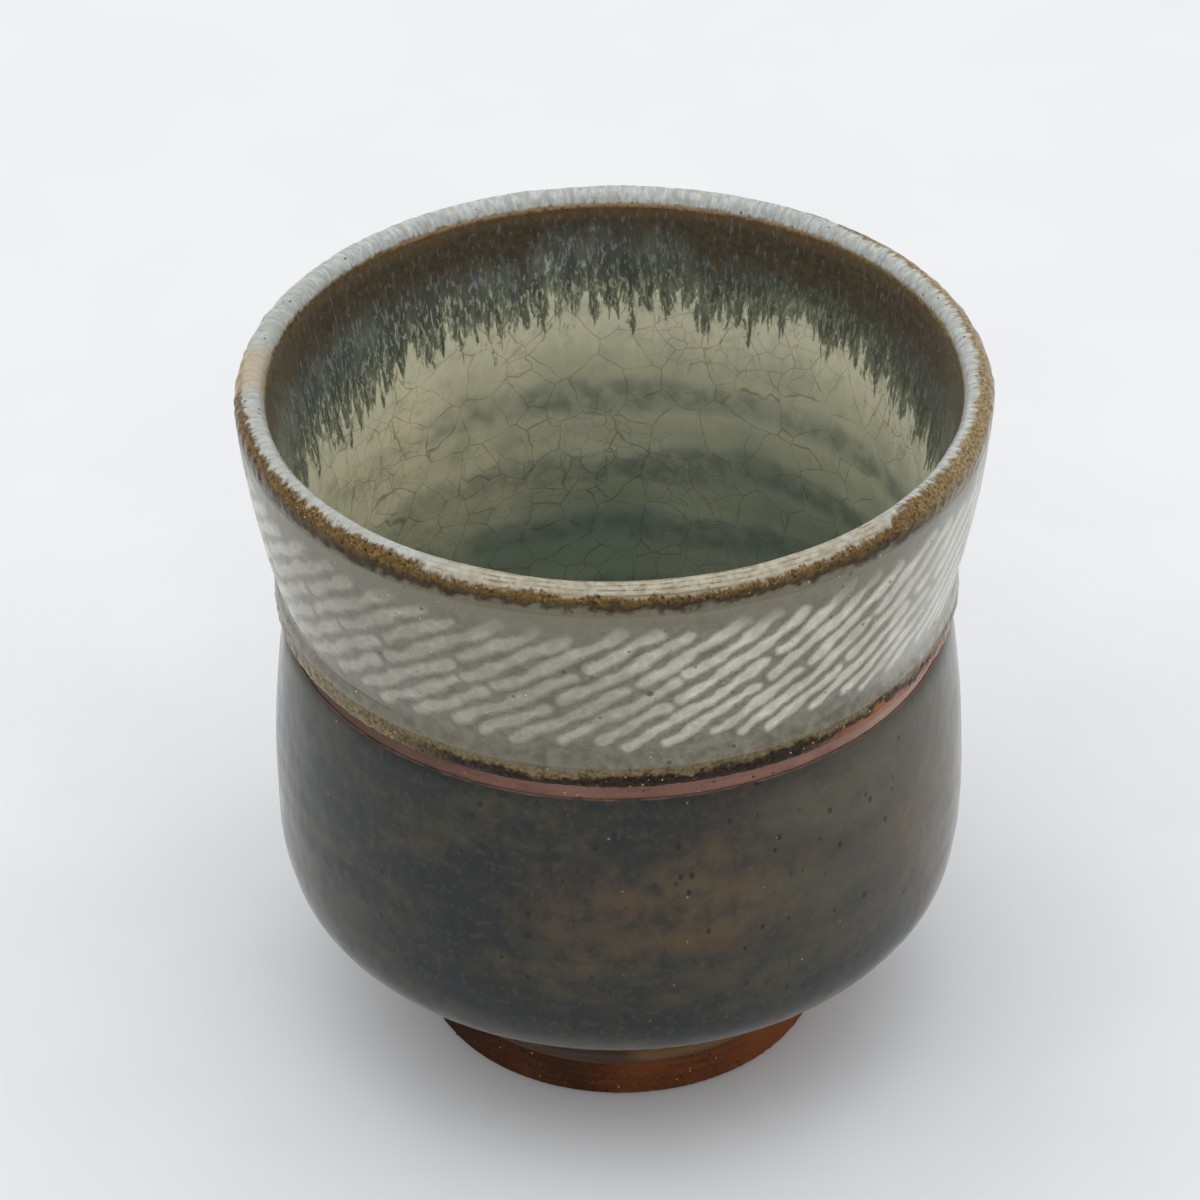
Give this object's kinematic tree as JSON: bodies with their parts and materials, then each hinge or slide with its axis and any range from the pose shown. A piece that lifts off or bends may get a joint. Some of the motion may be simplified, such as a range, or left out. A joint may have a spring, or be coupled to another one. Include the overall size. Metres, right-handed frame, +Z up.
{
  "type": "tea cup",
  "caption": "Footed handleless tea cup with a flared, slip-inlaid collar over a rounded body and a bare clay foot ring.",
  "frame": {"origin": "middle of the foot ring's resting face", "axes": "+Z up along the cup's axis; the pictured side faces -Y"},
  "size_m": [0.084, 0.084, 0.0853],
  "materials": {
    "bare_clay": "bare fired stoneware, pinkish brown",
    "foot_clay": "bare fired stoneware, red brown, turned",
    "pale_slip": "pale slip under a clear grey coat",
    "crackle_liner": "pale green-cream crackled glaze, gloss",
    "iron_rim": "brown iron glaze streaked with blue white, gloss",
    "grey_coat": "thin grey speckled glaze, gloss",
    "iron_band": "brown-black iron glaze, gloss",
    "dark_coat": "mottled blue-black glaze with brown patches, satin gloss"
  },
  "bodies": {
    "root": {"clay_body": "bare_clay", "foot_ring": "foot_clay", "slip_inlay": "pale_slip", "liner_glaze": "crackle_liner", "rim_glaze": "iron_rim", "collar_glaze": "grey_coat", "ledge_iron_band": "iron_band", "body_glaze": "dark_coat"}
  },
  "joints": []
}
